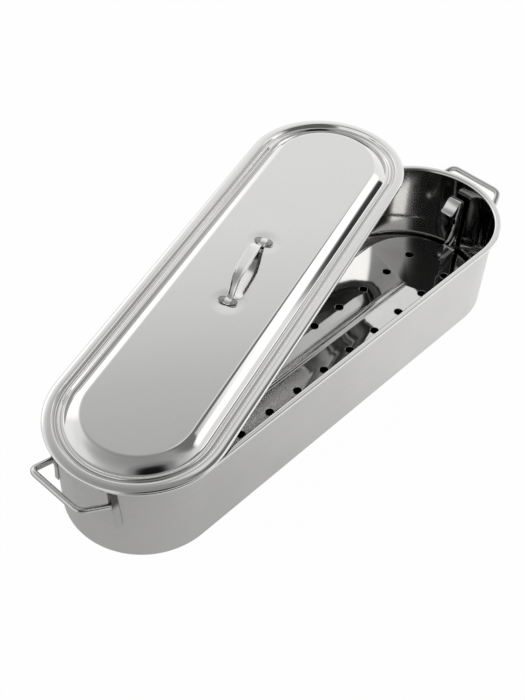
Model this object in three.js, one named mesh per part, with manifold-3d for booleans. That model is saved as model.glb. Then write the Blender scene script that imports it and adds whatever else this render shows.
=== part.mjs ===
// A stainless steel fish poacher: a long pan with round ends, a perforated rack that lifts out of it
// by two end straps, and a pressed lid with a bow handle, lying turned a little across the pan.
//
// Millimetres, +Z up. The origin is the centre of the pan's underside. +X runs along the pan.
// The lid's near end and the near handle are the ones at -X.

import * as THREE from "three";
import { mergeVertices } from "three/addons/utils/BufferGeometryUtils.js";
import Module from "manifold-3d";

const wasm = await Module();
wasm.setup();

// Pan
const rimLength = 600; // over the rim, end to end
const rimWidth = 178; // over the rim, side to side
const panHeight = 109;
const panSheet = 1; // thickness of the drawn sheet
const rimFlange = 7.2; // the rim stands out this far from the inside of the wall
const rimTurnDown = 2.6; // height of the rim's turned-down edge
const rimBend = 1.8; // outer radius where the rim turns down
const mouthBend = 3.2; // outer radius of the mouth's rounded inner edge
const wallDraft = 1.6; // the wall leans out this much from floor to rim
const floorBend = 6; // outer radius between wall and floor

// Lid
const lidSheet = 1;
const lidClearance = 1.2; // at the sides of the rim, when the lid is closed
const lidEndEase = 1.4; // extra clearance at each end of the rim
const lidHem = 2.8; // height of the lid's turned-down edge, from the top of its flange
const hemBend = 2; // outer radius where the hem turns down
const plugClearance = 0.9; // between the mouth of the pan and the lid's first groove
const grooveDepth = 4.1; // the two pressed grooves lie this far below the flange; the lid rests on them
const beadDepth = 1.5; // the bead between them lies this far below the flange
const grooveRamp = 3.4; // width of each ramp down to a groove or up to the bead
const slopeWidth = 18; // from the second groove up to the raised panel
const panelRise = 5.6; // the raised panel stands this far above the flange
const lidTurn = 17.4; // degrees, as the lid lies across the pan
const lidRestX = 0; // the lid's near round end lies this far along the pan from the pan's own
const lidRestY = 1.1;
const bowTurn = 4.5; // degrees, the bow sits slightly askew on the panel
const bowShift = -2.5; // and this far off the lid's middle line
const bowShiftAlong = 2.5;

// Lid handle, a bow stamped from strip
const bowSpan = 99; // between the middles of its feet
const bowHeight = 17; // from the panel to the top of the bow
const bowStrip = 2;
const bowFlat = 40; // length of the level grip
const bowGripWidth = 13;
const bowNeckWidth = 8;
const bowFootLength = 11;
const bowFootWidth = 21;

// Rack
const rackSheet = 1;
const rackSideGap = 11; // from the rack's edge to the pan's wall
const rackEndGap = 11.7; // the same at each end, when the rack lies in the middle
const rackShift = 6.4; // the loose rack lies this far towards +X
const rackDepth = 10.9; // height of the rack's turned-down edge, which is what it stands on
const rackBend = 2.5; // outer radius where that edge turns down
const holeDiameter = 10;
const holePitch = 42.9;
const holesInRow = 12;
const rowSpacing = 52.2; // between the two rows of holes
const ribWidth = 11; // the raised rib down the middle
const ribHeight = 3;
const ribEndGap = 86; // from the rib's end to the rack's end

// Lifting strap at each end of the rack
const strapWidth = 16;
const strapSheet = 1.5;
const strapFoot = 25; // length of its foot on the rack
const strapBend = 3; // radius at the foot, to the middle of the sheet
const strapHeight = 78.3; // from the rack's top face to the top of the strap
const hookReach = 23.5; // the hook at the top reaches this far inwards
const hookBend = 5; // radius over the top of the hook
const hookDrop = 11.5; // the hook's lip lies this far below its top
const rivetShank = 4;
const rivetHead = 7;
const rivetHeadHeight = 1.4;
const rivetFromFootEnd = 5;

// End handles, a loop of wire on two upright lugs
const wireDiameter = 6.5;
const loopWidth = 66; // between the middles of the loop's corners
const loopReach = 28; // from the face of the lugs to the middle of the bar
const nearLoopRise = 9.2; // the near bar stands this far above the ends of the legs
const farLoopRise = 14.2; // and the far one this far
const loopBend = 8;
const legHeight = 86; // where the wire meets the lug
const nearLeftDrop = 5; // the near handle's left lug sits this much lower than the others
const nearLeftInset = 4; // and this much nearer the middle
const lugSpacing = 84.6; // between the middles of the two lugs, at that height
const lugSplay = 3.5; // degrees, the lugs spread a little towards their lower ends
const lugWidth = 4.6;
const lugDepth = 5.2; // how far a lug stands out from the wall
const lugTopGap = 3; // below the rim's turned-down edge
const lugStraight = 21; // length at full depth, from the top
const lugTaper = 14; // then it narrows over this length
const lugTail = 16; // and ends in a thin tail of this length
const lugTailDepth = 2.4;

const gap = 0.3; // between pieces that touch

const arcSteps = 22; // facets in each round end
const smallArcSteps = 8; // the same on the narrow rib
const filletSteps = 4;
const rampSteps = 4;
const slopeSteps = 9;

const steel = (color, roughness) => new THREE.MeshStandardMaterial({ color, roughness, metalness: 1 });
const brushed = steel(0xbdbcba, 0.38);
const polished = steel(0xd6d6d5, 0.12);
const mirror = steel(0xcfcfce, 0.08);
const wireSteel = steel(0xc6c6c5, 0.25);

// Half the distance between the centres of the pan's two round ends. The lid shares it.
const rimRadius = rimWidth / 2;
const arcCentre = rimLength / 2 - rimRadius;
const mouthRadius = rimRadius - rimFlange;
const wallRadius = mouthRadius + panSheet; // outside, at the rim
const floorRadius = wallRadius - wallDraft; // outside, at the floor

// Points along a quarter circle or less, angles in degrees.
function arc(cx, cy, radius, from, to, steps = filletSteps) {
  const points = [];
  for (let i = 0; i <= steps; i += 1) {
    const a = THREE.MathUtils.degToRad(from + ((to - from) * i) / steps);
    points.push(new THREE.Vector2(cx + radius * Math.cos(a), cy + radius * Math.sin(a)));
  }
  return points;
}

// A smooth ramp between two heights, without its first point.
function ramp(from, to, steps) {
  const points = [];
  for (let i = 1; i <= steps; i += 1) {
    const t = i / steps;
    const s = (1 - Math.cos(Math.PI * t)) / 2;
    points.push(new THREE.Vector2(from.x + (to.x - from.x) * t, from.y + (to.y - from.y) * s));
  }
  return points;
}

// The same line moved sideways, to its left as it runs, by the thickness of a sheet.
function offsetLine(line, distance) {
  const last = line.length - 1;
  return line.map((p, i) => {
    const before = p.clone().sub(line[Math.max(i - 1, 0)]).normalize();
    const after = line[Math.min(i + 1, last)].clone().sub(p).normalize();
    const tangent = before.clone().add(after).normalize();
    const mitre = i === 0 || i === last ? 1 : tangent.dot(after);
    const step = distance / mitre;
    return new THREE.Vector2(p.x - tangent.y * step, p.y + tangent.x * step);
  });
}

// A solid swept round an oblong with round ends. The profile holds distances out from the middle line
// and heights. It starts and ends on a flat face, which closes the solid.
function oblongSweep(profile, halfSpacing, steps = arcSteps) {
  const directions = [];
  for (const [side, start] of [[1, -90], [-1, 90]]) {
    for (let i = 0; i <= steps; i += 1) {
      const a = THREE.MathUtils.degToRad(start + (180 * i) / steps);
      directions.push([side * halfSpacing, Math.cos(a), Math.sin(a)]);
    }
  }
  const count = directions.length;
  const positions = [];
  for (const p of profile) {
    for (const [centre, dx, dy] of directions) positions.push(centre + p.x * dx, p.x * dy, p.y);
  }
  const index = [];
  for (let row = 0; row + 1 < profile.length; row += 1) {
    for (let k = 0; k < count; k += 1) {
      const a = row * count + k;
      const b = row * count + ((k + 1) % count);
      index.push(a, b, b + count, a, b + count, a + count);
    }
  }
  const last = (profile.length - 1) * count;
  for (let k = 1; k + 1 < count; k += 1) {
    index.push(0, k + 1, k);
    index.push(last, last + k, last + k + 1);
  }
  const geometry = new THREE.BufferGeometry();
  geometry.setAttribute("position", new THREE.Float32BufferAttribute(positions, 3));
  geometry.setIndex(index);
  return geometry;
}

// three.js geometry to a solid that can be cut and joined, and back.
function solid(geometry) {
  const bare = geometry.clone();
  bare.deleteAttribute("normal");
  bare.deleteAttribute("uv");
  const merged = mergeVertices(bare, 1e-4);
  return new wasm.Manifold(new wasm.Mesh({
    numProp: 3,
    vertProperties: new Float32Array(merged.attributes.position.array),
    triVerts: new Uint32Array(merged.index.array),
  }));
}

function geometryOf(manifold) {
  const mesh = manifold.getMesh();
  const geometry = new THREE.BufferGeometry();
  geometry.setAttribute("position", new THREE.BufferAttribute(new Float32Array(mesh.vertProperties), 3));
  geometry.setIndex(new THREE.BufferAttribute(new Uint32Array(mesh.triVerts), 1));
  const flat = geometry.toNonIndexed();
  flat.computeVertexNormals();
  return flat;
}

function piece(name, geometry, material) {
  const mesh = new THREE.Mesh(geometry, material);
  mesh.name = name;
  return mesh;
}

// A strip of sheet bent along a line in the X-Z plane, and its width across Y.
function bentStrip(line, sheet, width) {
  const outline = [...offsetLine(line, sheet / 2), ...offsetLine(line, -sheet / 2).reverse()];
  const geometry = new THREE.ExtrudeGeometry(new THREE.Shape(outline), {
    depth: width,
    bevelEnabled: false,
  });
  geometry.rotateX(Math.PI / 2);
  geometry.translate(0, width / 2, 0);
  return geometry;
}

// The pan: drawn from one sheet, with a flat floor and a flanged rim whose edge turns down.
function panBody() {
  const top = panHeight;
  const outside = [
    ...arc(floorRadius - floorBend, floorBend, floorBend, -90, 0, 6),
    ...arc(wallRadius + mouthBend - panSheet, top - mouthBend, mouthBend - panSheet, 180, 90, 3),
    new THREE.Vector2(rimRadius - rimBend, top - panSheet),
    new THREE.Vector2(rimRadius - panSheet, top - rimBend),
    new THREE.Vector2(rimRadius - panSheet, top - rimTurnDown),
  ];
  const edge = [
    new THREE.Vector2(rimRadius, top - rimTurnDown),
    ...arc(rimRadius - rimBend, top - rimBend, rimBend, 0, 90),
  ];
  const floorInner = floorBend - panSheet;
  const inside = [
    ...arc(mouthRadius + mouthBend, top - mouthBend, mouthBend, 90, 180),
    ...arc(floorRadius - floorBend, floorBend, floorInner, 0, -90, 6),
  ];
  return oblongSweep([...outside, ...edge, ...inside], arcCentre);
}

// The lid's top face from the edge of the raised panel out to the foot of the hem.
const lidRadius = rimRadius + lidClearance + lidSheet;
const lidArcCentre = arcCentre + lidEndEase;
const flangeInner = mouthRadius - plugClearance + lidSheet;
const panelRadius = flangeInner - 3 * grooveRamp - slopeWidth;
function lidTopLine() {
  const outward = [];
  let r = panelRadius;
  outward.push(new THREE.Vector2(r, panelRise));
  for (const [width, level, steps] of [
    [slopeWidth, -grooveDepth, slopeSteps],
    [grooveRamp, -beadDepth, rampSteps],
    [grooveRamp, -grooveDepth, rampSteps],
    [grooveRamp, 0, rampSteps],
  ]) {
    r += width;
    outward.push(...ramp(outward[outward.length - 1], new THREE.Vector2(r, level), steps));
  }
  outward.push(...arc(lidRadius - hemBend, -hemBend, hemBend, 90, 0));
  outward.push(new THREE.Vector2(lidRadius, -lidHem));
  return outward;
}

function lidShell() {
  const topLine = lidTopLine();
  const underLine = offsetLine(topLine, -lidSheet);
  return oblongSweep([...underLine, ...topLine.reverse()], lidArcCentre);
}

// The bow: a strip bent to a bow in side view, then cut to its outline in plan.
function lidBow() {
  const half = bowSpan / 2;
  const mid = bowHeight - bowStrip / 2;
  const footEnd = half + bowFootLength / 2;
  const right = [
    ...ramp(new THREE.Vector2(bowFlat / 2, mid), new THREE.Vector2(half - bowFootLength / 2, bowStrip / 2), 8),
    new THREE.Vector2(footEnd, bowStrip / 2),
  ];
  const left = right.map((p) => new THREE.Vector2(-p.x, p.y)).reverse();
  const line = [
    ...left,
    new THREE.Vector2(-bowFlat / 2, mid),
    new THREE.Vector2(bowFlat / 2, mid),
    ...right,
  ];
  const strip = solid(bentStrip(line, bowStrip, bowFootWidth + 2));

  const plan = new THREE.Shape();
  const footInner = half - bowFootLength / 2;
  const grip = bowGripWidth / 2;
  const neck = bowNeckWidth / 2;
  const foot = bowFootWidth / 2;
  const round = bowFootLength / 2.2;
  plan.moveTo(-footInner, neck);
  plan.bezierCurveTo(-footInner + 9, neck, -bowFlat / 2 - 6, grip, -bowFlat / 4, grip);
  plan.lineTo(bowFlat / 4, grip);
  plan.bezierCurveTo(bowFlat / 2 + 6, grip, footInner - 9, neck, footInner, neck);
  plan.lineTo(footInner, foot - round);
  plan.quadraticCurveTo(footInner, foot, footInner + round, foot);
  plan.quadraticCurveTo(footEnd, foot, footEnd, foot - round);
  plan.lineTo(footEnd, -foot + round);
  plan.quadraticCurveTo(footEnd, -foot, footInner + round, -foot);
  plan.quadraticCurveTo(footInner, -foot, footInner, -foot + round);
  plan.lineTo(footInner, -neck);
  plan.bezierCurveTo(footInner - 9, -neck, bowFlat / 2 + 6, -grip, bowFlat / 4, -grip);
  plan.lineTo(-bowFlat / 4, -grip);
  plan.bezierCurveTo(-bowFlat / 2 - 6, -grip, -footInner + 9, -neck, -footInner, -neck);
  plan.lineTo(-footInner, -foot + round);
  plan.quadraticCurveTo(-footInner, -foot, -footInner - round, -foot);
  plan.quadraticCurveTo(-footEnd, -foot, -footEnd, -foot + round);
  plan.lineTo(-footEnd, foot - round);
  plan.quadraticCurveTo(-footEnd, foot, -footInner - round, foot);
  plan.quadraticCurveTo(-footInner, foot, -footInner, foot - round);
  plan.closePath();
  const cutter = new THREE.ExtrudeGeometry(plan, {
    depth: bowHeight + 2,
    bevelEnabled: false,
    curveSegments: 5,
  });
  cutter.translate(0, 0, -1);
  return geometryOf(strip.intersect(solid(cutter)));
}

// Heights and lengths of the rack, in its own frame: its edge stands on z = 0.
const rackRadius = mouthRadius - rackSideGap;
const rackCentre = arcCentre + mouthRadius - rackEndGap - rackRadius;
const rackTop = rackDepth;
function rackPlate() {
  const skirtLine = [
    ...arc(rackRadius - rackBend, rackTop - rackBend, rackBend, 90, 0),
    new THREE.Vector2(rackRadius, 0),
  ];
  const underLine = [
    ...arc(rackRadius - rackBend, rackTop - rackBend, rackBend - rackSheet, 90, 0),
    new THREE.Vector2(rackRadius - rackSheet, 0),
  ];
  let plate = solid(oblongSweep([...underLine, ...skirtLine.reverse()], rackCentre));

  const ribCentre = rackCentre + rackRadius - ribEndGap - ribWidth / 2;
  const ribSolid = (radius, base, foot) => {
    const start = new THREE.Vector2(radius, foot);
    const crown = new THREE.Vector2(radius / 4, foot + ribHeight);
    const section = [new THREE.Vector2(radius, base), start, ...ramp(start, crown, 5)];
    return solid(oblongSweep(section, ribCentre, smallArcSteps));
  };
  const ribRadius = ribWidth / 2;
  plate = plate.add(ribSolid(ribRadius, rackTop - rackSheet / 2, rackTop));
  plate = plate.subtract(ribSolid(ribRadius - rackSheet, 0, rackTop - rackSheet));

  const drill = new THREE.CylinderGeometry(holeDiameter / 2, holeDiameter / 2, rackSheet * 4, 16);
  drill.rotateX(Math.PI / 2);
  for (let i = 0; i < holesInRow; i += 1) {
    for (const side of [-1, 1]) {
      const x = (i - (holesInRow - 1) / 2) * holePitch;
      const hole = drill.clone().translate(x, (side * rowSpacing) / 2, rackTop);
      plate = plate.subtract(solid(hole));
    }
  }
  const rivetX = strapEnd() - strapFoot + rivetFromFootEnd;
  const shank = new THREE.CylinderGeometry(rivetShank / 2 + gap, rivetShank / 2 + gap, rackSheet * 4, 16);
  shank.rotateX(Math.PI / 2);
  for (const side of [-1, 1]) plate = plate.subtract(solid(shank.clone().translate(side * rivetX, 0, rackTop)));
  return geometryOf(plate);
}

// The outer face of a strap's riser, level with the end of the rack.
function strapEnd() {
  return rackCentre + rackRadius;
}

// One lifting strap at +X: a foot on the rack, a riser, and a hook that leans inwards at the top.
function liftingStrap() {
  const riser = strapEnd() - strapSheet / 2;
  const footZ = gap + strapSheet / 2;
  const top = strapHeight - strapSheet / 2;
  const line = [
    new THREE.Vector2(strapEnd() - strapFoot, footZ),
    ...arc(riser - strapBend, footZ + strapBend, strapBend, -90, 0),
    ...arc(riser - hookBend, top - hookBend, hookBend, 0, 90, 6),
  ];
  const over = line[line.length - 1];
  const lip = new THREE.Vector2(riser - hookReach, top - hookDrop);
  const level = new THREE.Vector2((over.x - lip.x) / 2, 0);
  const hook = new THREE.CubicBezierCurve(over, over.clone().sub(level), lip.clone().add(level), lip);
  line.push(...hook.getPoints(8).slice(1));
  let strap = solid(bentStrip(line, strapSheet, strapWidth));
  const bore = new THREE.CylinderGeometry(rivetShank / 2 + gap, rivetShank / 2 + gap, strapSheet * 4, 16);
  bore.rotateX(Math.PI / 2);
  bore.translate(strapEnd() - strapFoot + rivetFromFootEnd, 0, footZ);
  strap = strap.subtract(solid(bore));
  return geometryOf(strap);
}

// A rivet through the strap's foot and the rack, with a low domed head above and a flat one below.
function strapRivet() {
  const top = gap + strapSheet + gap;
  const under = -rackSheet - gap;
  const shank = rivetShank / 2;
  const head = rivetHead / 2;
  const dome = arc(0, top, head, 0, 90, 5).map((p) => new THREE.Vector2(
    Math.max(p.x, 0),
    top + (p.y - top) * (rivetHeadHeight / head),
  ));
  dome[dome.length - 1].x = 0;
  const profile = [
    new THREE.Vector2(0, under - rivetHeadHeight / 2),
    new THREE.Vector2(head, under - rivetHeadHeight / 2),
    new THREE.Vector2(head, under),
    new THREE.Vector2(shank, under),
    new THREE.Vector2(shank, top),
    ...dome,
  ];
  const geometry = new THREE.LatheGeometry(profile, 16);
  geometry.rotateX(Math.PI / 2);
  return geometryOf(solid(geometry));
}

// Where a lug stands: its place round the pan's end, and how far its front face is from the arc's centre.
const lugAngle = Math.asin(lugSpacing / 2 / (wallRadius + lugDepth / 2));
const lugFront = wallRadius * Math.cos(lugAngle) + lugDepth;
const lugTop = panHeight - rimTurnDown - lugTopGap;

// One lug at +X and +Y, an upright plate whose back follows the pan's wall. It is deep at the top and
// narrows to a thin tail.
function lug(inset, drop) {
  const back = lugFront - lugDepth - lugWidth;
  const taperTop = lugTop - lugStraight;
  const tailTop = taperTop - lugTaper;
  const tail = lugFront - lugDepth + lugTailDepth;
  const side = new THREE.Shape();
  side.moveTo(back, lugTop);
  side.lineTo(back, tailTop - lugTail);
  side.lineTo(tail, tailTop - lugTail);
  side.lineTo(tail, tailTop);
  side.bezierCurveTo(tail, tailTop + lugTaper / 2, lugFront, taperTop - lugTaper / 3, lugFront, taperTop);
  side.lineTo(lugFront, lugTop);
  side.closePath();
  const bar = new THREE.ExtrudeGeometry(side, { depth: lugWidth, bevelEnabled: false, curveSegments: 4 });
  bar.rotateX(Math.PI / 2);
  bar.translate(arcCentre, lugWidth / 2, -legHeight);
  bar.rotateX(THREE.MathUtils.degToRad(lugSplay));
  bar.translate(0, lugSpacing / 2 - inset, legHeight - drop);
  const radiusAt = (z) => floorRadius + (wallDraft * z) / panHeight + gap;
  const wall = new THREE.CylinderGeometry(radiusAt(panHeight), radiusAt(0), panHeight, 4 * arcSteps);
  wall.rotateX(Math.PI / 2);
  wall.translate(arcCentre, 0, panHeight / 2);
  return geometryOf(solid(bar).subtract(solid(wall)));
}

// One wire loop at +X: two legs that rise from the lugs, and a bar across. The legs are cut off flat
// where they meet the lugs.
function wireLoop(rise, leftInset, leftDrop) {
  const face = arcCentre + lugFront + gap;
  const foot = (side) => (side > 0
    ? new THREE.Vector3(face, lugSpacing / 2, legHeight)
    : new THREE.Vector3(face, leftInset - lugSpacing / 2, legHeight - leftDrop));
  const corner = (side) => new THREE.Vector3(
    arcCentre + lugFront + loopReach,
    (side * loopWidth) / 2,
    legHeight + rise,
  );
  const along = (from, to, distance) => to.clone().sub(from).setLength(distance).add(from);
  const [left, right] = [-1, 1].map((side) => ({
    start: along(foot(side), corner(side), -wireDiameter),
    leg: along(corner(side), foot(side), loopBend),
    corner: corner(side),
    bar: along(corner(side), corner(-side), loopBend),
  }));
  const path = new THREE.CurvePath();
  path.add(new THREE.LineCurve3(left.start, left.leg));
  path.add(new THREE.QuadraticBezierCurve3(left.leg, left.corner, left.bar));
  path.add(new THREE.LineCurve3(left.bar, right.bar));
  path.add(new THREE.QuadraticBezierCurve3(right.bar, right.corner, right.leg));
  path.add(new THREE.LineCurve3(right.leg, right.start));
  const section = new THREE.Shape();
  section.absarc(0, 0, wireDiameter / 2, 0, 2 * Math.PI);
  const wire = new THREE.ExtrudeGeometry(section, {
    steps: 44,
    curveSegments: 5,
    bevelEnabled: false,
    extrudePath: path,
  });
  const behind = new THREE.BoxGeometry(4 * wireDiameter, 2 * lugSpacing, panHeight);
  behind.translate(face - 2 * wireDiameter, 0, legHeight);
  return geometryOf(solid(wire).subtract(solid(behind)));
}

// The whole object.
const poacher = new THREE.Group();

const pan = new THREE.Group();
pan.add(piece("pan_body", panBody(), brushed));
for (const [end, turn, rise, inset, drop] of [
  ["near", Math.PI, nearLoopRise, nearLeftInset, nearLeftDrop],
  ["far", 0, farLoopRise, 0, 0],
]) {
  const handle = new THREE.Group();
  handle.rotation.z = turn;
  handle.add(piece(`${end}_handle_loop`, wireLoop(rise, inset, drop), wireSteel));
  for (const [side, mirrored] of [["right", 1], ["left", -1]]) {
    const shape = side === "left" ? lug(inset, drop) : lug(0, 0);
    const mesh = piece(`${end}_handle_${side}_lug`, shape, brushed);
    mesh.scale.y = mirrored;
    handle.add(mesh);
  }
  pan.add(handle);
}
poacher.add(pan);

const rack = new THREE.Group();
rack.position.set(rackShift, 0, panSheet + gap);
rack.add(piece("rack_plate", rackPlate(), mirror));
for (const [end, turn] of [["near", Math.PI], ["far", 0]]) {
  const fitting = new THREE.Group();
  fitting.rotation.z = turn;
  fitting.position.z = rackTop;
  fitting.add(piece(`rack_${end}_strap`, liftingStrap(), mirror));
  const rivet = piece(`rack_${end}_rivet`, strapRivet(), mirror);
  rivet.position.x = strapEnd() - strapFoot + rivetFromFootEnd;
  fitting.add(rivet);
  rack.add(fitting);
}
poacher.add(rack);

// The lid turns about the centre of its near round end, which lies close to the pan's own.
const lid = new THREE.Group();
const turn = THREE.MathUtils.degToRad(lidTurn);
lid.rotation.z = turn;
lid.position.set(
  -arcCentre + lidRestX + lidArcCentre * Math.cos(turn),
  lidRestY + lidArcCentre * Math.sin(turn),
  panHeight + gap + grooveDepth + lidSheet,
);
lid.add(piece("lid_shell", lidShell(), polished));
const bow = piece("lid_handle", lidBow(), polished);
bow.position.set(bowShiftAlong, bowShift, panelRise + gap);
bow.rotation.z = THREE.MathUtils.degToRad(bowTurn);
lid.add(bow);
poacher.add(lid);

export default poacher;
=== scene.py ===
"""The fish poacher's looks: fine meshes and steel finishes on the fixed frame. Metres, +Z up."""
import math

import bmesh
import bpy
from mathutils import Matrix, Vector

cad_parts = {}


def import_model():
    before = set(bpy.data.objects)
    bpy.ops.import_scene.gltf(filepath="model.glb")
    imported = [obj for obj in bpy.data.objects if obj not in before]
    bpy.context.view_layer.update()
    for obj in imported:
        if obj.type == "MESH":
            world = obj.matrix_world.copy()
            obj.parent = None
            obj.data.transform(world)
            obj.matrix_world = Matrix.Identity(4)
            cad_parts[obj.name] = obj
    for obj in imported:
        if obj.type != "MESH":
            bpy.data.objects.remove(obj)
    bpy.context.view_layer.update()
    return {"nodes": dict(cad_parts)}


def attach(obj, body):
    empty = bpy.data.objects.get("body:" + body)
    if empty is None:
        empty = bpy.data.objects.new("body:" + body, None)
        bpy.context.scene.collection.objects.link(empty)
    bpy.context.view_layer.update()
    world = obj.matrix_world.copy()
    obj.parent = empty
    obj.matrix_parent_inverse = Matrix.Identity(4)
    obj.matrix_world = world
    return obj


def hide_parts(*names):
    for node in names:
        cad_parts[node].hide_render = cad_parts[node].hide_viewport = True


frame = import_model()

MM = 0.001
ACROSS = Vector((0, 1, 0))

# The object's own sizes, in millimetres; LID_TURN and BOW_TURN are degrees.
RIM_LENGTH, RIM_WIDTH, PAN_HEIGHT, PAN_SHEET = 600.0, 178.0, 109.0, 1.0
RIM_FLANGE, RIM_TURN_DOWN, RIM_BEND, MOUTH_BEND = 7.2, 2.6, 1.8, 3.2
WALL_DRAFT, FLOOR_BEND = 1.6, 6.0
LID_SHEET, LID_CLEARANCE, LID_END_EASE, LID_HEM = 1.0, 1.2, 1.4, 2.8
PLUG_CLEARANCE, GROOVE_DEPTH, BEAD_DEPTH, GROOVE_RAMP = 0.9, 4.1, 1.5, 3.4
SLOPE_WIDTH, PANEL_RISE, LID_TURN, LID_REST_X, LID_REST_Y = 18.0, 5.6, 17.4, 0.0, 1.1
BOW_TURN, BOW_SHIFT_X, BOW_SHIFT_Y, BOW_SPAN, BOW_HEIGHT, BOW_STRIP = 4.5, 2.5, -2.5, 99.0, 17.0, 2.0
BOW_GRIP, BOW_NECK, BOW_FOOT_LENGTH, BOW_FOOT_WIDTH = 13.0, 8.0, 11.0, 21.0
RACK_SHEET, RACK_SIDE_GAP, RACK_END_GAP, RACK_SHIFT, RACK_DEPTH, RACK_BEND = 1.0, 11.0, 11.7, 6.4, 10.9, 2.5
HOLE_DIAMETER, HOLE_PITCH, HOLES_IN_ROW, ROW_SPACING = 10.0, 42.9, 12, 52.2
RIB_WIDTH, RIB_HEIGHT, RIB_END_GAP = 11.0, 3.0, 86.0
STRAP_WIDTH, STRAP_SHEET, STRAP_FOOT, STRAP_BEND, STRAP_HEIGHT = 16.0, 1.5, 25.0, 3.0, 78.3
HOOK_REACH, HOOK_BEND, HOOK_DROP = 23.5, 5.0, 11.5
RIVET_SHANK, RIVET_HEAD, RIVET_HEAD_HEIGHT, RIVET_FROM_END = 4.0, 7.0, 1.4, 5.0
WIRE, LOOP_WIDTH, LOOP_REACH, LOOP_BEND = 6.5, 66.0, 28.0, 8.0
NEAR_RISE, FAR_RISE, NEAR_LEFT_DROP, NEAR_LEFT_INSET = 9.2, 14.2, 5.0, 4.0
LEG_HEIGHT, LUG_SPACING, LUG_DEPTH = 86.0, 84.6, 5.2
GAP = 0.3

# Small roundings and eases that only the scene has, in millimetres.
BOX_EASE_WIRE, BOX_EASE_LID = 0.05, 0.03
BURR_HALF, BURR_OFFSET, BURR_SINK = 0.32, 0.1, 0.05
STRAP_EDGE, STRAP_END_ROUND = 0.45, 2.2
STRAP_START, RIVET_EDGE = 3.0, 0.3
BOW_EDGE, BOW_DISH, BOW_BORDER, BOW_TIP, BOW_FOOT_MARGIN = 0.8, 0.45, 2.2, 3.0, 0.6
FLANGE_FLAT, DIMPLE_RADIUS, DIMPLE_DEPTH = 1.4, 21.0, 0.6

# Plain numbers: the powers of the bow's arch and of its oval feet, the share that its sheet thins by at
# the necks, and the feet's thickness at their ends and what their middles have more.
BOW_ARCH_POWER, BOW_OVAL_POWER, BOW_THINNING, FOOT_END, FOOT_DOME = 2.8, 2.4, 0.25, 0.5, 0.6
# Where the lid's slope rounds over, steepens and ends, in shares of its width, and how much it steepens.
SLOPE_TOP, SLOPE_MIDDLE, SLOPE_END, SLOPE_GAIN = (0, 0.24), (0.35, 0.85), (0.86, 1.04), 0.45

rim_radius = RIM_WIDTH / 2
arc_centre = RIM_LENGTH / 2 - rim_radius
mouth_radius = rim_radius - RIM_FLANGE
wall_radius = mouth_radius + PAN_SHEET
floor_radius = wall_radius - WALL_DRAFT
lid_radius = rim_radius + LID_CLEARANCE + LID_SHEET
flange_inner = mouth_radius - PLUG_CLEARANCE + LID_SHEET
panel_radius = flange_inner - 3 * GROOVE_RAMP - SLOPE_WIDTH
lid_half = arc_centre + LID_END_EASE
lid_turn = math.radians(LID_TURN)
lid_spot = Vector((-arc_centre + LID_REST_X + lid_half * math.cos(lid_turn),
                   LID_REST_Y + lid_half * math.sin(lid_turn),
                   PAN_HEIGHT + GAP + GROOVE_DEPTH + LID_SHEET))
lid_place = Matrix.Translation(lid_spot * MM) @ Matrix.Rotation(lid_turn, 4, "Z")
bow_spot = Vector((BOW_SHIFT_X, BOW_SHIFT_Y, PANEL_RISE + GAP))
bow_place = lid_place @ Matrix.Translation(bow_spot * MM) @ Matrix.Rotation(math.radians(BOW_TURN), 4, "Z")


# ---------------------------------------------------------------- mesh helpers

def arc(cx, cy, radius, start, end, steps):
    """Points along an arc in a profile plane; angles in degrees."""
    out = []
    for i in range(steps + 1):
        a = math.radians(start + (end - start) * i / steps)
        out.append((cx + radius * math.cos(a), cy + radius * math.sin(a)))
    return out


def ramp(p, q, steps):
    """A smooth ramp between two heights, without its first point."""
    out = []
    for i in range(1, steps + 1):
        t = i / steps
        s = (1 - math.cos(math.pi * t)) / 2
        out.append((p[0] + (q[0] - p[0]) * t, p[1] + (q[1] - p[1]) * s))
    return out


def smooth(low, high, t):
    t = min(max((t - low) / (high - low), 0.0), 1.0)
    return t * t * (3 - 2 * t)


def slope_line(p, q, steps):
    """The lid's slope: rounded over at the top, steepest near the foot. Without its first point."""
    fall = [0.0]
    for i in range(steps):
        t = (i + 0.5) / steps
        steepness = smooth(*SLOPE_TOP, t) * (1 + SLOPE_GAIN * smooth(*SLOPE_MIDDLE, t))
        steepness *= 1 - smooth(*SLOPE_END, t)
        fall.append(fall[-1] + steepness)
    return [(p[0] + (q[0] - p[0]) * i / steps, p[1] + (q[1] - p[1]) * fall[i] / fall[-1])
            for i in range(1, steps + 1)]


def offset_line(line, distance):
    """The same line moved to its left by a distance."""
    out = []
    pts = [Vector(p) for p in line]
    for i, p in enumerate(pts):
        before = p - pts[max(i - 1, 0)]
        after = pts[min(i + 1, len(pts) - 1)] - p
        before = before.normalized() if before.length else after.normalized()
        after = after.normalized() if after.length else before
        t = (before + after).normalized()
        k = distance / max(t.dot(after), 0.3)
        out.append((p.x - t.y * k, p.y + t.x * k))
    return out


def new_object(name, bm, smooth_angle=32):
    """A mesh object from a bmesh, smooth except across edges sharper than an angle."""
    bmesh.ops.recalc_face_normals(bm, faces=bm.faces)
    for f in bm.faces:
        f.smooth = True
    limit = math.radians(smooth_angle)
    for e in bm.edges:
        e.smooth = len(e.link_faces) != 2 or e.calc_face_angle(0) < limit
    mesh = bpy.data.meshes.new(name)
    bm.to_mesh(mesh)
    bm.free()
    obj = bpy.data.objects.new(name, mesh)
    bpy.context.scene.collection.objects.link(obj)
    return obj


def oblong_directions(half, steps):
    out = []
    for side, start in ((1, -90), (-1, 90)):
        for i in range(steps + 1):
            a = math.radians(start + 180 * i / steps)
            out.append((side * half, math.cos(a), math.sin(a)))
    return out


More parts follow.
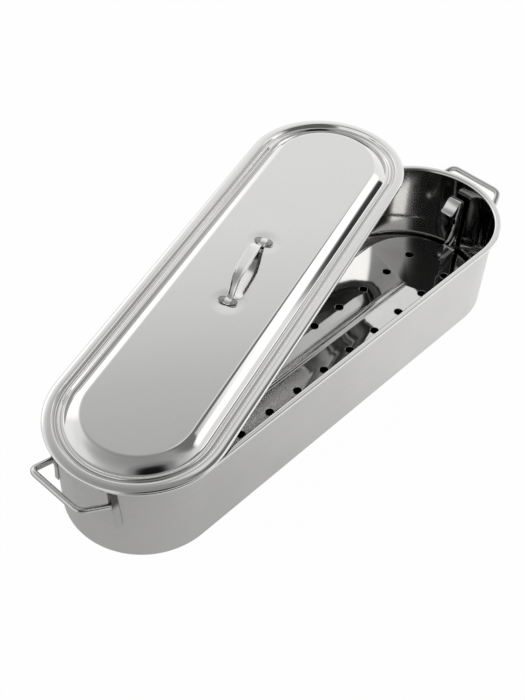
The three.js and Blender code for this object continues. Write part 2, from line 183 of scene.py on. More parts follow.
def oblong(profile, half, steps=72, slots=None):
    """A closed body swept round an oblong. slots gives each strip of the profile its material slot.
    UVs run along the sweep and along the profile, in metres."""
    bm = bmesh.new()
    uv = bm.loops.layers.uv.new("sweep")
    dirs = oblong_directions(half, steps)
    n = len(dirs)
    rings = [[bm.verts.new(((c + r * dx) * MM, r * dy * MM, z * MM)) for c, dx, dy in dirs]
             for r, z in profile]
    along = [0.0]
    mean = sum(r for r, _ in profile) / len(profile)
    for k in range(1, n + 1):
        a, b = dirs[k - 1], dirs[k % n]
        step = math.hypot(b[0] + mean * b[1] - a[0] - mean * a[1], mean * (b[2] - a[2]))
        along.append(along[-1] + step * MM)
    across = [0.0]
    for p, q in zip(profile, profile[1:]):
        across.append(across[-1] + math.dist(p, q) * MM)
    for row in range(len(profile) - 1):
        for k in range(n):
            j = (k + 1) % n
            f = bm.faces.new((rings[row][k], rings[row][j], rings[row + 1][j], rings[row + 1][k]))
            f.material_index = slots[row] if slots else 0
            for loop, (u, v) in zip(f.loops, ((k, row), (k + 1, row), (k + 1, row + 1), (k, row + 1))):
                loop[uv].uv = (along[u], across[v])
    for ring, slot in ((rings[0], 0), (rings[-1], -1)):
        f = bm.faces.new(ring)
        f.material_index = (slots[slot] if slots else 0)
        for loop in f.loops:
            loop[uv].uv = (loop.vert.co.x, loop.vert.co.y)
    return bm


def lathe(profile, segments=40):
    """A small turned body; the profile holds radius and height, from the axis back to the axis."""
    bm = bmesh.new()
    rings = []
    for r, z in profile:
        if r < 1e-6:
            rings.append([bm.verts.new((0, 0, z * MM))])
        else:
            rings.append([bm.verts.new((r * math.cos(2 * math.pi * i / segments) * MM,
                                        r * math.sin(2 * math.pi * i / segments) * MM, z * MM))
                          for i in range(segments)])
    for a, b in zip(rings, rings[1:]):
        for i in range(segments):
            j = (i + 1) % segments
            corners = [a[i % len(a)], a[j % len(a)], b[j % len(b)], b[i % len(b)]]
            unique = []
            for v in corners:
                if v not in unique:
                    unique.append(v)
            if len(unique) > 2:
                bm.faces.new(unique)
    return bm


def strip_loft(stations, edge, across=10, dish=0.0, border=1.0):
    """A strip with rounded edges, lofted through stations of (point, normal, side, half width, half
    thickness). side is the direction across the strip. dish sinks its top inside a raised border."""
    bm = bmesh.new()
    rings = []
    for point, normal, side, half, thick in stations:
        e = min(edge, thick * 0.98, half * 0.5)
        loop = []
        for sx, sz, start in ((1, 1, 0), (-1, 1, 90), (-1, -1, 180), (1, -1, 270)):
            for i in range(across // 2 + 1):
                a = math.radians(start + 90 * i / (across // 2))
                loop.append((sx * (half - e) + e * math.cos(a), sz * (thick - e) + e * math.sin(a)))
            if dish and start == 0:
                for i in range(1, 16):
                    x = (half - e) * (1 - i / 8)
                    loop.append((x, thick - dish * smooth(0, border, half - e - abs(x))))
        rings.append([bm.verts.new((point + side * x + normal * z) * MM) for x, z in loop])
    n = len(rings[0])
    for a, b in zip(rings, rings[1:]):
        for i in range(n):
            j = (i + 1) % n
            bm.faces.new((a[i], a[j], b[j], b[i]))
    bm.faces.new(rings[0])
    bm.faces.new(rings[-1])
    return bm


def tube(points, radius, segments=28):
    """A round wire along a path of points, with flat ends."""
    bm = bmesh.new()
    rings = []
    pts = [Vector(p) for p in points]
    normal = None
    for i, p in enumerate(pts):
        t = (pts[min(i + 1, len(pts) - 1)] - pts[max(i - 1, 0)]).normalized()
        if normal is None:
            normal = t.orthogonal().normalized()
        normal = (normal - t * normal.dot(t)).normalized()
        other = t.cross(normal)
        rings.append([bm.verts.new((p + (normal * math.cos(2 * math.pi * k / segments)
                                         + other * math.sin(2 * math.pi * k / segments)) * radius) * MM)
                      for k in range(segments)])
    for a, b in zip(rings, rings[1:]):
        for i in range(segments):
            j = (i + 1) % segments
            bm.faces.new((a[i], a[j], b[j], b[i]))
    bm.faces.new(rings[0])
    bm.faces.new(rings[-1])
    return bm


def dress(obj, body, nodes, materials):
    """Everything a piece needs: its materials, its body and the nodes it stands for."""
    for m in materials:
        obj.data.materials.append(m)
    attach(obj, body)
    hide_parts(*nodes)
    return obj


# ---------------------------------------------------------------- materials

# The colour of painted shade, laid on the lugs' tops as shade under the pan's rim.
RIM_SHADE_PAINT = (0.10, 0.095, 0.09)
# Scales of the noise, per metre: clouds of tone, with their share of it, and broad waves in the sheet.
CLOUD_SCALE, CLOUD_SHARE, SWELL_SCALE = 14.0, 0.45, 9.0


def material(name):
    m = bpy.data.materials.new(name)
    m.use_nodes = True
    nodes, links = m.node_tree.nodes, m.node_tree.links
    bsdf = nodes["Principled BSDF"]
    bsdf.inputs["Metallic"].default_value = 1.0
    return m, nodes, links, bsdf


def ramp_node(nodes, links, source, low, high, at=(0.35, 0.65)):
    r = nodes.new("ShaderNodeValToRGB")
    for element, position, colour in zip(r.color_ramp.elements, at, (low, high)):
        element.position = position
        element.color = (*colour, 1)
    links.new(source, r.inputs["Fac"])
    return r


def span_node(nodes, links, source, low, high):
    r = nodes.new("ShaderNodeMapRange")
    r.inputs["To Min"].default_value = low
    r.inputs["To Max"].default_value = high
    links.new(source, r.inputs["Value"])
    return r.outputs["Result"]


def blend_node(nodes, links, factor, base, over):
    """A colour with a plain one laid over it by a factor."""
    n = nodes.new("ShaderNodeMix")
    n.data_type = "RGBA"
    links.new(factor, n.inputs["Factor"])
    links.new(base, n.inputs["A"])
    n.inputs["B"].default_value = (*over, 1)
    return n.outputs["Result"]


def steel(name, colour, roughness, grain=(6, 900), coords="sweep", grain_depth=0.02, spread=0.04,
          tint=0.03, wave=0.0, painted_shade_heights=None, dimples=()):
    """Rolled or polished sheet. grain holds the noise scale along and across the brushing, coords is
    the UV map that carries it or None for object coordinates. The heights given for painted shade set where
    the colour darkens to a painted shade colour; above the upper one it stays dark. dimples holds the
    place, radius and depth of each dent that a weld has drawn."""
    m, nodes, links, bsdf = material(name)
    where = nodes.new("ShaderNodeTexCoord") if coords is None else nodes.new("ShaderNodeUVMap")
    if coords is None:
        source = where.outputs["Object"]
    else:
        where.uv_map = coords
        source = where.outputs["UV"]
    stretch = nodes.new("ShaderNodeMapping")
    stretch.inputs["Scale"].default_value = (grain[0], grain[1], grain[1])
    links.new(source, stretch.inputs["Vector"])
    fine = nodes.new("ShaderNodeTexNoise")
    fine.inputs["Scale"].default_value = 1.0
    fine.inputs["Detail"].default_value = 3.0
    links.new(stretch.outputs["Vector"], fine.inputs["Vector"])
    cloud = nodes.new("ShaderNodeTexNoise")
    cloud.inputs["Scale"].default_value = CLOUD_SCALE
    cloud.inputs["Detail"].default_value = 4.0
    place = nodes.new("ShaderNodeTexCoord")
    links.new(place.outputs["Object"], cloud.inputs["Vector"])
    both = nodes.new("ShaderNodeMix")
    both.data_type = "FLOAT"
    both.inputs["Factor"].default_value = CLOUD_SHARE
    links.new(fine.outputs["Fac"], both.inputs["A"])
    links.new(cloud.outputs["Fac"], both.inputs["B"])
    low = tuple(c * (1 - tint) for c in colour)
    high = tuple(min(c * (1 + tint), 1) for c in colour)
    tone = ramp_node(nodes, links, both.outputs["Result"], low, high)
    colours = tone.outputs["Color"]
    # Painted shade: between the two heights the colour darkens, and above them it stays dark.
    if painted_shade_heights:
        axes = nodes.new("ShaderNodeSeparateXYZ")
        links.new(place.outputs["Object"], axes.inputs["Vector"])
        rise = nodes.new("ShaderNodeMapRange")
        rise.interpolation_type = "SMOOTHSTEP"
        rise.inputs["From Min"].default_value, rise.inputs["From Max"].default_value = painted_shade_heights
        links.new(axes.outputs["Z"], rise.inputs["Value"])
        colours = blend_node(nodes, links, rise.outputs["Result"], colours, RIM_SHADE_PAINT)
    links.new(colours, bsdf.inputs["Base Color"])
    rough = span_node(nodes, links, both.outputs["Result"], roughness - spread, roughness + spread)
    links.new(rough, bsdf.inputs["Roughness"])
    bump = nodes.new("ShaderNodeBump")
    bump.inputs["Strength"].default_value = grain_depth
    bump.inputs["Distance"].default_value = 0.0005
    links.new(fine.outputs["Fac"], bump.inputs["Height"])
    last = bump.outputs["Normal"]
    if wave:
        swell = nodes.new("ShaderNodeTexNoise")
        swell.inputs["Scale"].default_value = SWELL_SCALE
        swell.inputs["Detail"].default_value = 1.0
        links.new(place.outputs["Object"], swell.inputs["Vector"])
        broad = nodes.new("ShaderNodeBump")
        broad.inputs["Strength"].default_value = wave
        broad.inputs["Distance"].default_value = 0.002
        links.new(swell.outputs["Fac"], broad.inputs["Height"])
        links.new(last, broad.inputs["Normal"])
        last = broad.outputs["Normal"]
    for centre, radius, depth in dimples:
        far = nodes.new("ShaderNodeVectorMath")
        far.operation = "DISTANCE"
        links.new(place.outputs["Object"], far.inputs[0])
        far.inputs[1].default_value = centre
        dent = nodes.new("ShaderNodeMapRange")
        dent.interpolation_type = "SMOOTHSTEP"
        dent.inputs["From Max"].default_value = radius
        dent.inputs["To Min"].default_value = -depth / MM
        dent.inputs["To Max"].default_value = 0.0
        links.new(far.outputs["Value"], dent.inputs["Value"])
        drawn = nodes.new("ShaderNodeBump")
        drawn.inputs["Strength"].default_value = 1.0
        drawn.inputs["Distance"].default_value = MM
        links.new(dent.outputs["Result"], drawn.inputs["Height"])
        links.new(last, drawn.inputs["Normal"])
        last = drawn.outputs["Normal"]
    links.new(last, bsdf.inputs["Normal"])
    return m


satin = steel("satin_steel", (0.60, 0.595, 0.585), 0.33, grain=(9, 1500), grain_depth=0.10, tint=0.06)
rim_steel = steel("polished_rim_steel", (0.70, 0.695, 0.69), 0.12, grain=(9, 900), grain_depth=0.01,
                  spread=0.02)
inside_steel = steel("bright_inside_steel", (0.55, 0.545, 0.535), 0.10, grain=(9, 900), grain_depth=0.002,
                     spread=0.02)
lid_steel = steel("polished_lid_steel", (0.72, 0.715, 0.71), 0.05, grain=(40, 300), grain_depth=0.0008,
                  spread=0.01, tint=0.01, wave=0.006,
                  dimples=[(bow_place @ Vector((x * BOW_SPAN / 2 * MM, 0, 0)), DIMPLE_RADIUS * MM,
                            DIMPLE_DEPTH * MM) for x in (-1, 1)])
lid_under = steel("plain_lid_underside", (0.84, 0.84, 0.835), 0.30, grain=(40, 300), grain_depth=0.01)
mirror = steel("mirror_steel", (0.68, 0.68, 0.675), 0.035, grain=(60, 60), coords=None, grain_depth=0.0005,
               spread=0.006, wave=0.03)
bow_steel = steel("polished_bow_steel", (0.74, 0.74, 0.735), 0.05, grain=(60, 60), coords=None,
                  grain_depth=0.001, spread=0.01)
# The bow's underside: steel lighter than its top, painted light standing in for light thrown up from the
# lid.
bow_under_painted_light = steel("polished_bow_underside", (0.86, 0.86, 0.855), 0.12, grain=(60, 60), coords=None,
                  grain_depth=0.005)
# The bow's feet: dark steel that paints a dark reflection onto the wing tops of the feet.
bow_foot_painted_dark = steel("bow_foot_painted_reflection_steel", (0.30, 0.298, 0.295), 0.26, grain=(300, 300), coords=None,
                 grain_depth=0.02, tint=0.25)
wire_steel = steel("drawn_wire_steel", (0.60, 0.60, 0.595), 0.22, grain=(200, 200), coords=None,
                   grain_depth=0.03)
# The lugs carry painted shade: darker from 78 mm up, as shade under the pan's rim.
lug_steel = steel("satin_lug_steel", (0.56, 0.555, 0.55), 0.33, grain=(300, 300), coords=None,
                  grain_depth=0.03, painted_shade_heights=(0.078, 0.089))


# ---------------------------------------------------------------- pan

def pan_profile():
    top = PAN_HEIGHT
    outside = arc(floor_radius - FLOOR_BEND, FLOOR_BEND, FLOOR_BEND, -90, 0, 10)
    under = arc(wall_radius + MOUTH_BEND - PAN_SHEET, top - MOUTH_BEND, MOUTH_BEND - PAN_SHEET, 180, 90, 8)
    edge = arc(rim_radius - RIM_BEND, top - RIM_BEND, RIM_BEND - PAN_SHEET, 90, 0, 6)
    edge.append((rim_radius - PAN_SHEET, top - RIM_TURN_DOWN))
    lip = [(rim_radius, top - RIM_TURN_DOWN)]
    lip += arc(rim_radius - RIM_BEND, top - RIM_BEND, RIM_BEND, 0, 90, 10)
    mouth = arc(mouth_radius + MOUTH_BEND, top - MOUTH_BEND, MOUTH_BEND, 90, 180, 12)
    floor = arc(floor_radius - FLOOR_BEND, FLOOR_BEND, FLOOR_BEND - PAN_SHEET, 0, -90, 10)
    outer = outside + under
    rim = edge + lip + mouth[:7]
    inner = mouth[7:] + floor
    slots = [0] * (len(outer) - 1) + [2] * len(rim) + [1] * len(inner)
    return outer + rim + inner, slots


profile, slots = pan_profile()
pan = new_object("pan_sheet", oblong(profile, arc_centre, 90, slots))
dress(pan, "pan", ["pan_body"], [satin, inside_steel, rim_steel])


def round_corner(before, corner, after, steps=12):
    a = corner + (before - corner).normalized() * LOOP_BEND
    c = corner + (after - corner).normalized() * LOOP_BEND
    return [a.lerp(corner, i / steps).lerp(corner.lerp(c, i / steps), i / steps) for i in range(steps + 1)]


def loop_path(rise, inset, drop):
    """The wire's middle line at +X, from its left lug to its right one."""
    angle = math.asin(LUG_SPACING / 2 / (wall_radius + LUG_DEPTH / 2))
    front = wall_radius * math.cos(angle) + LUG_DEPTH
    foot = [Vector((arc_centre + front + GAP, inset - LUG_SPACING / 2, LEG_HEIGHT - drop)),
            Vector((arc_centre + front + GAP, LUG_SPACING / 2, LEG_HEIGHT))]
    corner = [Vector((arc_centre + front + LOOP_REACH, s * LOOP_WIDTH / 2, LEG_HEIGHT + rise))
              for s in (-1, 1)]
    left = round_corner(foot[0], corner[0], corner[1])
    right = round_corner(corner[0], corner[1], foot[1])
    line = [foot[0]] + left
    for i in range(1, 8):
        line.append(left[-1].lerp(right[0], i / 8))
    return line + right + [foot[1]]


HANDLES = (("far", 0, FAR_RISE, 0, 0), ("near", math.pi, NEAR_RISE, NEAR_LEFT_INSET, NEAR_LEFT_DROP))
for end, turn, *bend in HANDLES:
    spin = Matrix.Rotation(turn, 3, "Z")
    points = [spin @ p for p in loop_path(*bend)]
    wire = new_object(f"{end}_wire", tube(points, WIRE / 2 - BOX_EASE_WIRE), 60)
    dress(wire, "pan", [f"{end}_handle_loop"], [wire_steel])
    for side in ("left", "right"):
        node = frame["nodes"][f"{end}_handle_{side}_lug"]
        # The lug's steel carries painted shade on its upper part, under the rim.
        node.data.materials.clear()
        node.data.materials.append(lug_steel)


# ---------------------------------------------------------------- rack

rack_radius = mouth_radius - RACK_SIDE_GAP
rack_centre = arc_centre + mouth_radius - RACK_END_GAP - rack_radius
rack_base = PAN_SHEET + GAP
rack_end = rack_centre + rack_radius
rivet_x = rack_end - STRAP_FOOT + RIVET_FROM_END


def rack_place(turn):
    """From a strap's own frame, at +X on the rack's top, to its end of the rack."""
    rise = Matrix.Translation((RACK_SHIFT * MM, 0, (rack_base + RACK_DEPTH) * MM))
    return rise @ Matrix.Rotation(turn, 4, "Z")


def boolean(target, tool, operation):
    mod = target.modifiers.new("cut", "BOOLEAN")
    mod.operation = operation
    mod.solver = "EXACT"
    mod.object = tool
    deps = bpy.context.evaluated_depsgraph_get()
    mesh = bpy.data.meshes.new_from_object(target.evaluated_get(deps))
    target.modifiers.clear()
    old = target.data
    target.data = mesh
    bpy.data.meshes.remove(old)
    bpy.data.objects.remove(tool)


def burr(bm, x, y, radius, z, half, segments=36, sides=8):
    """The rounded lip that the punch leaves round a hole."""
    rings = []
    for i in range(segments):
        a = 2 * math.pi * i / segments
        rings.append([])
        for k in range(sides):
            b = 2 * math.pi * k / sides
            r = radius + half * math.cos(b)
            rings[-1].append(bm.verts.new(((x + r * math.cos(a)) * MM, (y + r * math.sin(a)) * MM,
                                           (z + half * math.sin(b)) * MM)))
    for i in range(segments):
        for k in range(sides):
            a, b, j = rings[i], rings[(i + 1) % segments], (k + 1) % sides
            bm.faces.new((a[k], b[k], b[j], a[j]))


def rack_mesh():
    top = RACK_DEPTH
    bend = (rack_radius - RACK_BEND, top - RACK_BEND)
    skirt = arc(*bend, RACK_BEND, 90, 0, 10) + [(rack_radius, 0)]
    under = arc(*bend, RACK_BEND - RACK_SHEET, 90, 0, 8) + [(rack_radius - RACK_SHEET, 0)]
    plate = new_object("rack_sheet", oblong(under + skirt[::-1], rack_centre, 90))
    half = rack_centre + rack_radius - RIB_END_GAP - RIB_WIDTH / 2

    def rib(radius, base, foot):
        section = [(radius, base), (radius, foot)]
        section += ramp((radius, foot), (radius / 4, foot + RIB_HEIGHT), 12)
        return new_object("rib", oblong(section, half, 24))

    boolean(plate, rib(RIB_WIDTH / 2, top - RACK_SHEET / 2, top), "UNION")
    boolean(plate, rib(RIB_WIDTH / 2 - RACK_SHEET, 0, top - RACK_SHEET), "DIFFERENCE")
    drill = bmesh.new()
    holes = [((i - (HOLES_IN_ROW - 1) / 2) * HOLE_PITCH, s * ROW_SPACING / 2, HOLE_DIAMETER / 2)
             for i in range(HOLES_IN_ROW) for s in (-1, 1)]
    rivet_holes = [(s * rivet_x, 0, RIVET_SHANK / 2 + GAP) for s in (-1, 1)]
    for x, y, r in holes + rivet_holes:
        bmesh.ops.create_cone(drill, cap_ends=True, segments=40, radius1=r * MM, radius2=r * MM,
                              depth=4 * MM, matrix=Matrix.Translation((x * MM, y * MM, top * MM)))
    boolean(plate, new_object("drill", drill), "DIFFERENCE")
    bm = bmesh.new()
    bm.from_mesh(plate.data)
    for x, y, r in holes:
        burr(bm, x, y, r + BURR_OFFSET, top - BURR_SINK, BURR_HALF)
    bpy.data.objects.remove(plate)
    bmesh.ops.translate(bm, verts=bm.verts, vec=(RACK_SHIFT * MM, 0, rack_base * MM))
    return new_object("rack_sheet", bm, 28)


rack = rack_mesh()
dress(rack, "rack", ["rack_plate"], [mirror])


def strap_line():
    """The middle line of a strap at +X, in its own frame: x and z, from the foot's end to the lip."""
    riser = rack_end - STRAP_SHEET / 2
    foot = GAP + STRAP_SHEET / 2
    top = STRAP_HEIGHT - STRAP_SHEET / 2
    line = [(rack_end - STRAP_FOOT, foot), (rack_end - STRAP_FOOT + STRAP_START, foot)]
    line += arc(riser - STRAP_BEND, foot + STRAP_BEND, STRAP_BEND, -90, 0, 10)
    line += arc(riser - HOOK_BEND, top - HOOK_BEND, HOOK_BEND, 0, 90, 12)
    over, lip = line[-1], (riser - HOOK_REACH, top - HOOK_DROP)
    level = (over[0] - lip[0]) / 2
    a, d = Vector(over), Vector(lip)
    b, c = a - Vector((level, 0)), d + Vector((level, 0))
    for i in range(1, 17):
        t = i / 16
        p = a * (1 - t) ** 3 + b * 3 * t * (1 - t) ** 2 + c * 3 * t * t * (1 - t) + d * t ** 3
        line.append((p.x, p.y))
    return line


def strap_mesh(turn):
    line = [Vector(p) for p in strap_line()]
    lengths = [0.0]
    for p, q in zip(line, line[1:]):
        lengths.append(lengths[-1] + (q - p).length)
    total, stations = lengths[-1], []
    for i, p in enumerate(line):
        t = (line[min(i + 1, len(line) - 1)] - line[max(i - 1, 0)]).normalized()
        from_end = min(lengths[i], total - lengths[i])
        short = 1 - min(from_end / STRAP_END_ROUND, 1)
        inset = STRAP_END_ROUND * (1 - math.sqrt(max(0.0, 1 - short ** 2)))
        stations.append((Vector((p.x, 0, p.y)), Vector((-t.y, 0, t.x)), ACROSS,
                         STRAP_WIDTH / 2 - inset, STRAP_SHEET / 2))
    bm = strip_loft(stations, STRAP_EDGE)
    bm.transform(rack_place(turn))
    return bm


def rivet_mesh(turn):
    top, under = GAP + STRAP_SHEET + GAP, -RACK_SHEET - GAP
    r, h = RIVET_HEAD / 2, RIVET_HEAD_HEIGHT
    dome = [(r * math.cos(math.radians(a)), top + h * math.sin(math.radians(a))) for a in range(0, 90, 9)]
    flat = under - h / 2
    profile = [(0, flat), (r - RIVET_EDGE, flat), (r, flat + RIVET_EDGE), (r, under),
               (RIVET_SHANK / 2, under), (RIVET_SHANK / 2, top), *dome, (0, top + h)]
    bm = lathe(profile)
    bm.transform(rack_place(turn) @ Matrix.Translation((rivet_x * MM, 0, 0)))
    return bm


for end, turn in (("far", 0), ("near", math.pi)):
    for name, make, node in (("lifting_strap", strap_mesh, "strap"), ("strap_rivet", rivet_mesh, "rivet")):
        piece = new_object(f"{end}_{name}", make(turn), 40)
        dress(piece, "rack", [f"rack_{end}_{node}"], [mirror])


# ---------------------------------------------------------------- lid

def lid_line():
    r = panel_radius
    line = [(r, PANEL_RISE)]
    r += SLOPE_WIDTH
    line += slope_line(line[-1], (r, -GROOVE_DEPTH), 34)
    for level in (-BEAD_DEPTH, -GROOVE_DEPTH, 0):
        r += GROOVE_RAMP
        line += ramp(line[-1], (r, level), 9)
    r, edge = r + FLANGE_FLAT, lid_radius - BOX_EASE_LID
    line.append((r, 0))
    for i in range(1, 25):
        a = math.pi / 2 * i / 24
        line.append((r + (edge - r) * math.sin(a), -LID_HEM * (1 - math.cos(a))))
    return line


line = lid_line()
under = offset_line(line, -LID_SHEET)
bm = oblong(under + line[::-1], lid_half, 90, [1] * len(under) + [0] * (len(line) - 1))
bm.transform(lid_place)
lid = new_object("lid_sheet", bm)
dress(lid, "lid", ["lid_shell"], [lid_steel, lid_under])


def bow_mesh():
    """The bow: a strip with a level grip, narrow necks and wide rounded feet."""
    half, mid = BOW_SPAN / 2, BOW_HEIGHT - BOW_STRIP / 2
    inner = half - BOW_FOOT_LENGTH / 2
    low = BOW_STRIP / 2
    side = []
    for i in range(1, 41):
        u = i / 40
        side.append((inner * u, low + (mid - low) * math.cos(math.pi / 2 * u ** BOW_ARCH_POWER) ** 2))
    foot_steps = (0.03, 0.07, 0.12, 0.2, 0.3, 0.4, 0.5, 0.6, 0.7, 0.8, 0.88, 0.94, 0.98, 1.0)
    side += [(inner + BOW_FOOT_LENGTH * t, low) for t in foot_steps]
    line = [(-x, z) for x, z in side[::-1]] + [(0, mid)] + side
    stations = []
    pts = [Vector(p) for p in line]
    for i, p in enumerate(pts):
        t = (pts[min(i + 1, len(pts) - 1)] - pts[max(i - 1, 0)]).normalized()
        x, thick = abs(p.x), BOW_STRIP / 2
        if x <= inner:
            width = BOW_GRIP / 2 + (BOW_NECK - BOW_GRIP) / 2 * smooth(0.25, 0.95, x / inner)
            thick *= 1 - BOW_THINNING * smooth(0.9, 1.0, x / inner)
        else:
            f = (x - inner) / BOW_FOOT_LENGTH
            width = max(BOW_FOOT_WIDTH / 2 * (1 - abs(2 * f - 1) ** BOW_OVAL_POWER) ** 0.5,
                        BOW_NECK / 2 if f < 0.5 else BOW_TIP)
            thick *= FOOT_END + FOOT_DOME * math.sqrt(max(0.0, 1 - (2 * f - 1) ** 2))
            p = Vector((p.x, thick))
        stations.append((Vector((p.x, 0, p.y)), Vector((-t.y, 0, t.x)), ACROSS, width, thick))
    bm = strip_loft(stations, BOW_EDGE, dish=BOW_DISH, border=BOW_BORDER)
    for f in bm.faces:
        f.normal_update()
        centre = f.calc_center_median() / MM
        # Downward faces get the underside steel with its painted light.
        if f.normal.z < -0.3:
            f.material_index = 1
        # The wing tops of the feet get the steel with the painted dark reflection.
        elif abs(centre.x) > inner + BOW_FOOT_MARGIN and abs(centre.y) > BOW_NECK / 2 - BOW_FOOT_MARGIN:
            f.material_index = 2
    bm.transform(bow_place)
    return bm


bow = new_object("lid_bow", bow_mesh(), 50)
dress(bow, "lid", ["lid_handle"], [bow_steel, bow_under_painted_light, bow_foot_painted_dark])


# ---------------------------------------------------------------- studio

# The floor: its paint, the share of it that glows, x - y in metres with the glow there for the dark and
# the light end, and half its width in metres.
FLOOR_PAINT, FLOOR_SHARE, FLOOR_DARK, FLOOR_LIGHT, FLOOR_HALF = 0.95, 0.98, (-0.31, 0.56), (0.48, 1.10), 6.0
# The least cosine that a patch is worked out with, which keeps it off the half of the sky behind it.
PATCH_FRONT = 0.02


def math_node(nodes, links, operation, *values):
    n = nodes.new("ShaderNodeMath")
    n.operation = operation
    for socket, value in zip(n.inputs, values):
        if isinstance(value, (int, float)):
            socket.default_value = value
        else:
            links.new(value, socket)
    return n.outputs["Value"]


def dot_node(nodes, links, source, vector):
    n = nodes.new("ShaderNodeVectorMath")
    n.operation = "DOT_PRODUCT"
    links.new(source, n.inputs[0])
    n.inputs[1].default_value = vector
    return n.outputs["Value"]


def floor_material():
    """White to the eye. In the metal it is a pale sweep, darker towards -X and +Y. To every other ray, and
    for a small share of these, it is plain paint, which keeps the object's shadow."""
    m = bpy.data.materials.new("studio_floor")
    m.use_nodes = True
    nodes, links = m.node_tree.nodes, m.node_tree.links
    nodes.clear()
    out = nodes.new("ShaderNodeOutputMaterial")
    paint = nodes.new("ShaderNodeBsdfDiffuse")
    paint.inputs["Color"].default_value = (FLOOR_PAINT, FLOOR_PAINT, FLOOR_PAINT, 1)
    place = nodes.new("ShaderNodeTexCoord")
    axes = nodes.new("ShaderNodeSeparateXYZ")
    links.new(place.outputs["Object"], axes.inputs["Vector"])
    side = math_node(nodes, links, "SUBTRACT", axes.outputs["X"], axes.outputs["Y"])
    shade = nodes.new("ShaderNodeMapRange")
    shade.interpolation_type = "SMOOTHSTEP"
    for end, (where, strength) in (("Min", FLOOR_DARK), ("Max", FLOOR_LIGHT)):
        shade.inputs[f"From {end}"].default_value = where
        shade.inputs[f"To {end}"].default_value = strength
    links.new(side, shade.inputs["Value"])
    path = nodes.new("ShaderNodeLightPath")
    camera_ray, glossy_ray = path.outputs["Is Camera Ray"], path.outputs["Is Glossy Ray"]
    seen = nodes.new("ShaderNodeMix")
    seen.data_type = "FLOAT"
    links.new(camera_ray, seen.inputs["Factor"])
    links.new(shade.outputs["Result"], seen.inputs["A"])
    seen.inputs["B"].default_value = 1.0
    glow = nodes.new("ShaderNodeEmission")
    links.new(seen.outputs["Result"], glow.inputs["Strength"])
    direct = math_node(nodes, links, "MAXIMUM", camera_ray, glossy_ray)
    both = nodes.new("ShaderNodeMixShader")
    links.new(math_node(nodes, links, "MULTIPLY", direct, FLOOR_SHARE), both.inputs["Fac"])
    links.new(paint.outputs["BSDF"], both.inputs[1])
    links.new(glow.outputs["Emission"], both.inputs[2])
    links.new(both.outputs["Shader"], out.inputs["Surface"])
    return m


bm = bmesh.new()
bmesh.ops.create_grid(bm, x_segments=2, y_segments=2, size=FLOOR_HALF)
floor = new_object("studio_floor", bm)
floor.data.materials.append(floor_material())


def direction(azimuth, height):
    a, h = math.radians(azimuth), math.radians(height)
    return Vector((math.cos(h) * math.cos(a), math.cos(h) * math.sin(a), math.sin(h)))


def patch(nodes, links, source, azimuth, height, wide, tall, roll=0.0, soft=0.35, square=4.0):
    """1 inside an oval patch of the surroundings, 0 outside. Sizes are half angles in degrees."""
    centre = direction(azimuth, height)
    level = Vector((0, 0, 1)).cross(centre).normalized()
    above = centre.cross(level)
    r = math.radians(roll)
    level, above = level * math.cos(r) + above * math.sin(r), above * math.cos(r) - level * math.sin(r)
    ahead = math_node(nodes, links, "MAXIMUM", dot_node(nodes, links, source, centre), PATCH_FRONT)
    parts = []
    for axis, half in ((level, wide), (above, tall)):
        side = math_node(nodes, links, "DIVIDE", dot_node(nodes, links, source, axis), ahead)
        side = math_node(nodes, links, "DIVIDE", side, math.tan(math.radians(half)))
        parts.append(math_node(nodes, links, "POWER", math_node(nodes, links, "ABSOLUTE", side), square))
    total = math_node(nodes, links, "ADD", *parts)
    edge = nodes.new("ShaderNodeMapRange")
    edge.interpolation_type = "SMOOTHSTEP"
    edge.inputs["From Min"].default_value = (1 - soft) ** square
    edge.inputs["From Max"].default_value = (1 + soft) ** square
    edge.inputs["To Min"].default_value = 1.0
    edge.inputs["To Max"].default_value = 0.0
    links.new(total, edge.inputs["Value"])
    return edge.outputs["Result"]


# The plain surroundings: brightness against the sine of the height, which leans a little to one side.
SKY = ((0.0, 1.15), (0.36, 1.05), (0.46, 0.98), (0.58, 0.93), (0.64, 0.80), (0.69, 0.64), (0.76, 0.51),
       (0.83, 0.44), (0.92, 0.37), (1.0, 0.32))
SKY_LEAN, SKY_LEAN_AZIMUTH = -0.08, 50
# Ray Depth is one more than the number of surfaces that a ray has met. Above these a ray counts as deep,
# deeper or spent, and a spent one sees SPENT_TONE alone.
DEEP, DEEPER, SPENT, SPENT_TONE = 2.5, 3.5, 5.5, 0.2
# Areas of the surroundings: the reflections that meet one, its brightness, and what patch() is given.
AREAS = (
    ("first", 1.42, (80, 12, 16, 20)),
    ("first", 0.92, (14, 53, 13, 12, 0, 0.4)),
    ("first", 0.14, (-110, 20, 38, 22)),
    ("first", 0.20, (-22, 54, 15, 13, -15, 0.5)),
    ("first", 1.45, (-21, 34.5, 15, 5.5, -24)),
    ("first", 0.05, (-19.3, 17, 5.0, 9.0, -6)),
    ("first", 0.18, (-117, 51, 19, 13, 0, 0.7, 2.0)),
    ("first", 0.01, (-118, 48.5, 13, 10, 0, 0.5, 2.5)),
    ("deep", 0.02, (181, 38, 34, 14, 0, 0.45)),
    ("deep", 2.4, (-46, 44, 13, 12)),
    ("deeper", 3.2, (113, 38, 8, 11)),
    ("deeper", 1.8, (36, 24, 26, 20)),
)


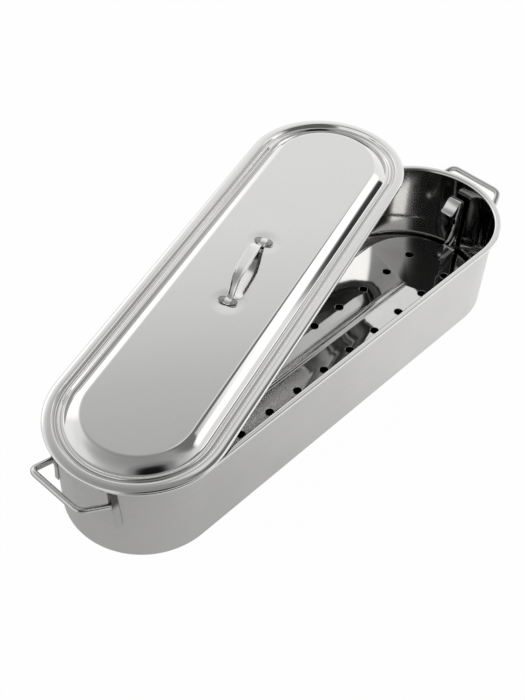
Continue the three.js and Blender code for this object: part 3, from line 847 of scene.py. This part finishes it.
def world():
    """The studio round the pan: white walls, a grey ceiling, and the bright and dark areas of AREAS. An
    area counts for the first reflection alone, or for rays that have met two or three surfaces."""
    w = bpy.data.worlds.new("studio")
    bpy.context.scene.world = w
    w.use_nodes = True
    nodes, links = w.node_tree.nodes, w.node_tree.links
    nodes.clear()
    out = nodes.new("ShaderNodeOutputWorld")
    back = nodes.new("ShaderNodeBackground")
    place = nodes.new("ShaderNodeTexCoord")
    source = place.outputs["Generated"]
    aside = dot_node(nodes, links, source, direction(SKY_LEAN_AZIMUTH, 0))
    lean = math_node(nodes, links, "MULTIPLY", aside, SKY_LEAN)
    height = math_node(nodes, links, "ADD", lean, dot_node(nodes, links, source, Vector((0, 0, 1))))
    sky = nodes.new("ShaderNodeValToRGB")
    sky.color_ramp.interpolation = "LINEAR"
    while len(sky.color_ramp.elements) < len(SKY):
        sky.color_ramp.elements.new(0.5)
    for element, (position, value) in zip(sky.color_ramp.elements, SKY):
        element.position = position
        element.color = (value, value, value, 1)
    links.new(height, sky.inputs["Fac"])
    path = nodes.new("ShaderNodeLightPath")
    deep, deeper, spent = [math_node(nodes, links, "GREATER_THAN", path.outputs["Ray Depth"], met)
                           for met in (DEEP, DEEPER, SPENT)]
    masks = {"first": math_node(nodes, links, "SUBTRACT", 1.0, deep), "deep": deep, "deeper": deeper}
    tone = sky.outputs["Color"]
    for when, value, shape in AREAS:
        mask = math_node(nodes, links, "MULTIPLY", patch(nodes, links, source, *shape), masks[when])
        tone = blend_node(nodes, links, mask, tone, (value,) * 3)
    tone = blend_node(nodes, links, spent, tone, (SPENT_TONE,) * 3)
    tone = blend_node(nodes, links, path.outputs["Is Camera Ray"], tone, (1, 1, 1))
    links.new(tone, back.inputs["Color"])
    links.new(back.outputs["Background"], out.inputs["Surface"])


world()

# ---------------------------------------------------------------- camera

CAMERA_AT, LENS, SENSOR_WIDTH, CLIP_START, CLIP_END = (-0.67273, -0.55023, 0.94924), 60.74, 36.0, 0.01, 50
RIGHT = Vector((0.68665, -0.72609, 0.03619))
UP = Vector((0.50786, 0.51471, 0.69076))
AHEAD = Vector((0.52018, 0.45594, -0.72217))
camera_data = bpy.data.cameras.new("camera")
camera_data.sensor_width, camera_data.lens = SENSOR_WIDTH, LENS
camera_data.clip_start, camera_data.clip_end = CLIP_START, CLIP_END
camera = bpy.data.objects.new("camera", camera_data)
bpy.context.scene.collection.objects.link(camera)
turned = Matrix((RIGHT, UP, -AHEAD)).transposed().to_4x4()
camera.matrix_world = Matrix.Translation(CAMERA_AT) @ turned
bpy.context.scene.camera = camera

bpy.context.scene.view_settings.view_transform = "Standard"
